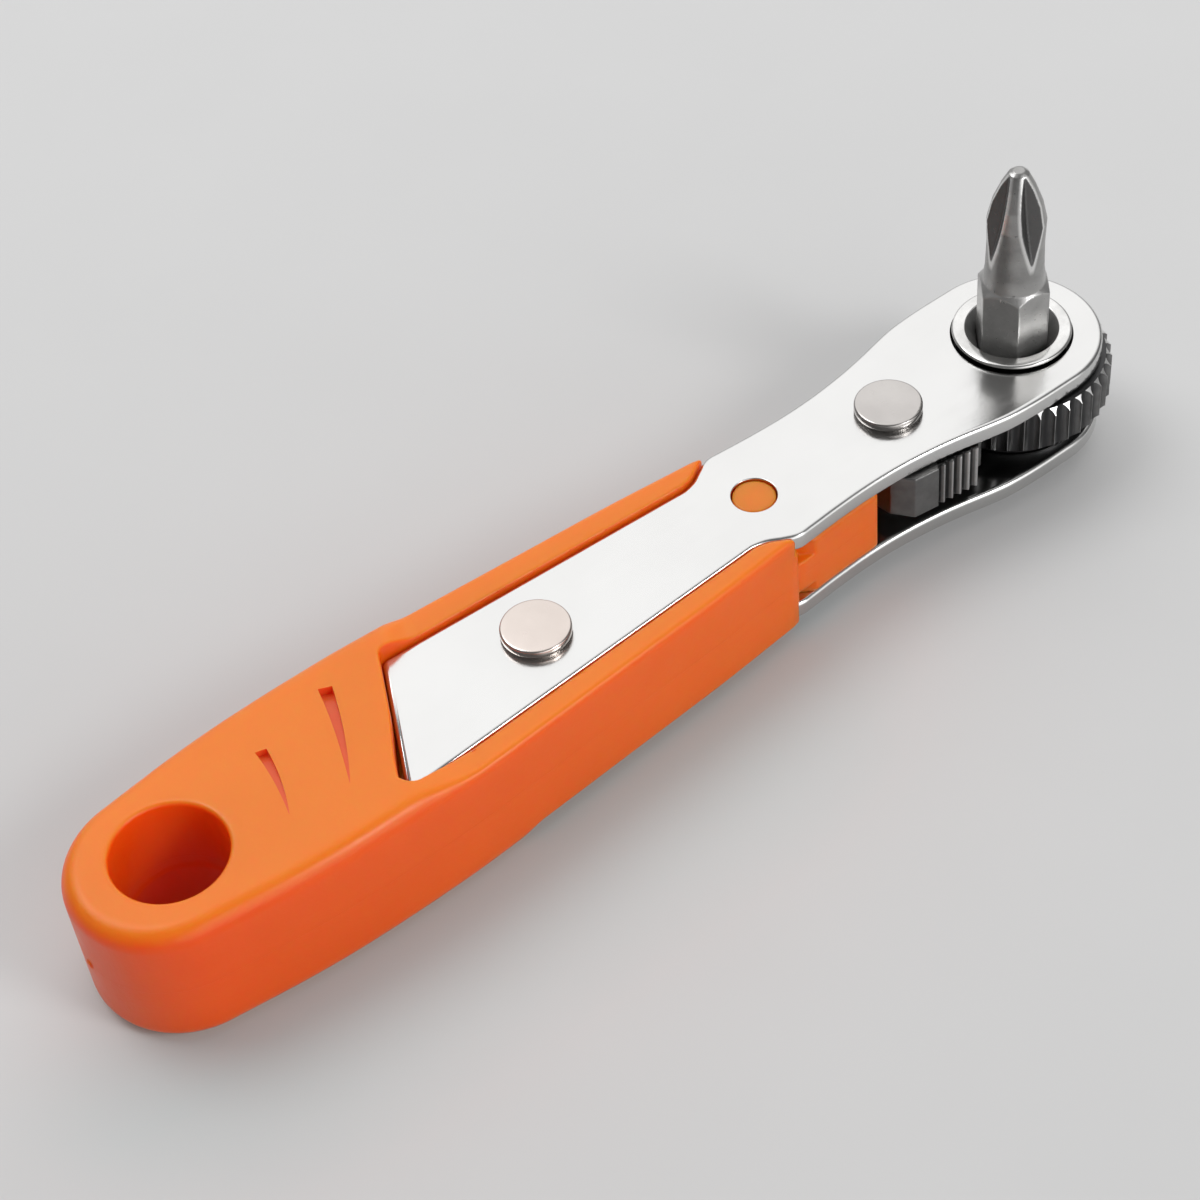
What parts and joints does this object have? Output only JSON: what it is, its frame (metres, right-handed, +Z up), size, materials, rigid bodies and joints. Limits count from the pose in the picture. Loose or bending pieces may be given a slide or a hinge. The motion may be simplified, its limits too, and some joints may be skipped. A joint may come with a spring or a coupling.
{
  "type": "mini ratchet wrench",
  "caption": "Pocket ratchet wrench: steel side plates riveted over a moulded grip, a toothed hexagon drive gear, a reversing pawl with a ball detent and a cross-point insert bit",
  "frame": {"origin": "on the gear's axis, at the lower mouth of its hexagon socket", "axes": "+X along the tool from the hanging hole towards the head, +Z up along the gear's axis towards the bit's point"},
  "size_m": [0.1153, 0.0198, 0.0325],
  "materials": {
    "grip": "satin",
    "plate": "satin",
    "rivet": "satin",
    "gear": "satin",
    "pawl": "satin",
    "bit": "matte",
    "spring_steel": "polished"
  },
  "bodies": {
    "frame": {"handle": "grip", "top_plate": "plate", "bottom_plate": "plate", "handle_rivet": "rivet", "pawl_rivet": "rivet", "detent_spring": "spring_steel"},
    "gear": {"ratchet_gear": "gear", "bit_retaining_ring": "spring_steel"},
    "pawl": {"reversing_pawl": "pawl"},
    "ball": {"detent_ball": "spring_steel"},
    "bit": {"screwdriver_bit": "bit"}
  },
  "joints": [
    {"name": "gear_spin", "type": "hinge", "parent": "frame", "child": "gear", "pos_m": [0, 0, 0.00627], "axis": [0, 0, 1], "continuous": true},
    {"name": "pawl_rock", "type": "hinge", "parent": "frame", "child": "pawl", "pos_m": [-0.016, 0, 0.00627], "axis": [0, 0, 1], "range_deg": [0, 10]},
    {"name": "detent_travel", "type": "slide", "parent": "frame", "child": "ball", "axis": [-1, 0, 0], "range_m": [0, 0.0006], "stiffness_N_per_m": 800, "deforming": ["detent_spring"]},
    {"name": "bit_slide", "type": "slide", "parent": "gear", "child": "bit", "axis": [0, 0, 1], "range_m": [0, 0.0055]}
  ]
}
